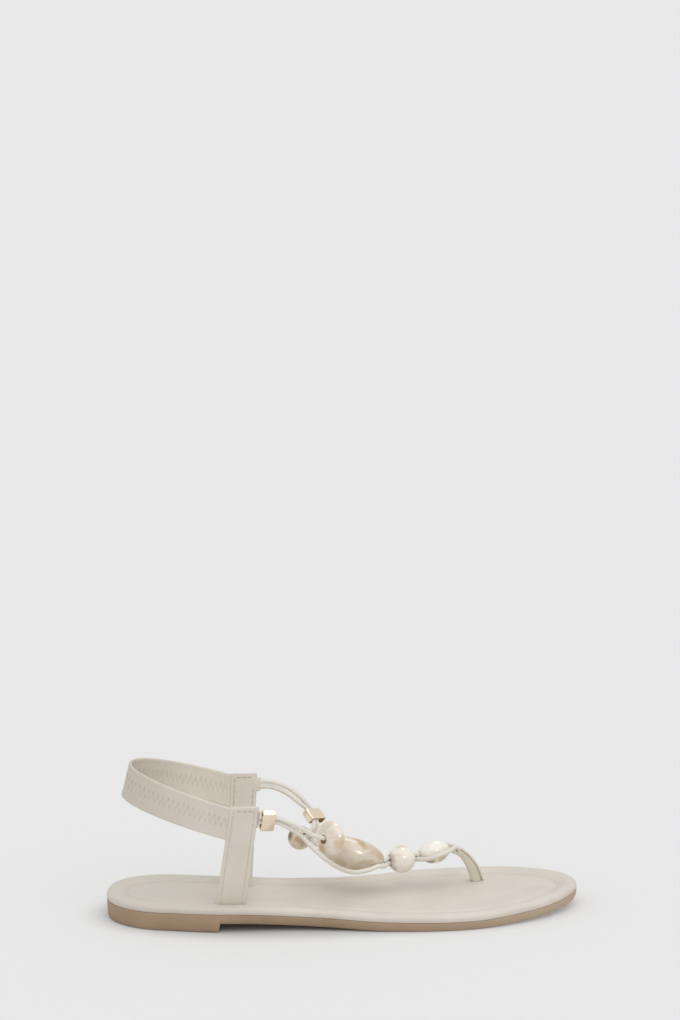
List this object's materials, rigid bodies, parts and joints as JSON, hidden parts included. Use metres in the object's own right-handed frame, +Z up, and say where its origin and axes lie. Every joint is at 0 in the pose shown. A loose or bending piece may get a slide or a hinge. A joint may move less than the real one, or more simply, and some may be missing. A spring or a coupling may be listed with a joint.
{
  "type": "toe post sandal",
  "caption": "Flat toe post sandal for the right foot: padded footbed on a low-heeled sole, upright side straps, a sling band round the heel and beaded cords over the instep.",
  "frame": {"origin": "on the floor under the middle of the sole's box", "axes": "+X to the toe, +Y to the medial side of the foot, +Z up"},
  "size_m": [0.25, 0.083, 0.0852],
  "materials": {
    "tan_rubber": "matt moulded",
    "ivory_leather": "fine grain, low sheen",
    "band_leather": "soft, gathered over elastic",
    "cream_cord": "smooth, low sheen",
    "pale_gold": "polished pale gold plate",
    "pearl_resin": "pearly marbled gloss",
    "amber_resin": "marbled brown gloss",
    "sand_resin": "marbled sand gloss",
    "ivory_resin": "marbled ivory gloss"
  },
  "bodies": {
    "root": {"outsole": "tan_rubber", "footbed": "ivory_leather", "strap_lateral": "ivory_leather", "strap_medial": "ivory_leather", "sling_band": "band_leather", "toe_post": "ivory_leather", "sleeve_lateral": "pale_gold", "sleeve_medial": "pale_gold", "bead_lateral": "pearl_resin", "bead_medial": "amber_resin", "bead_oval": "sand_resin", "bead_round": "ivory_resin", "bead_toe": "ivory_resin", "cord_lateral_outer": "cream_cord", "cord_lateral_inner": "cream_cord", "cord_medial_outer": "cream_cord", "cord_medial_inner": "cream_cord"}
  },
  "joints": []
}
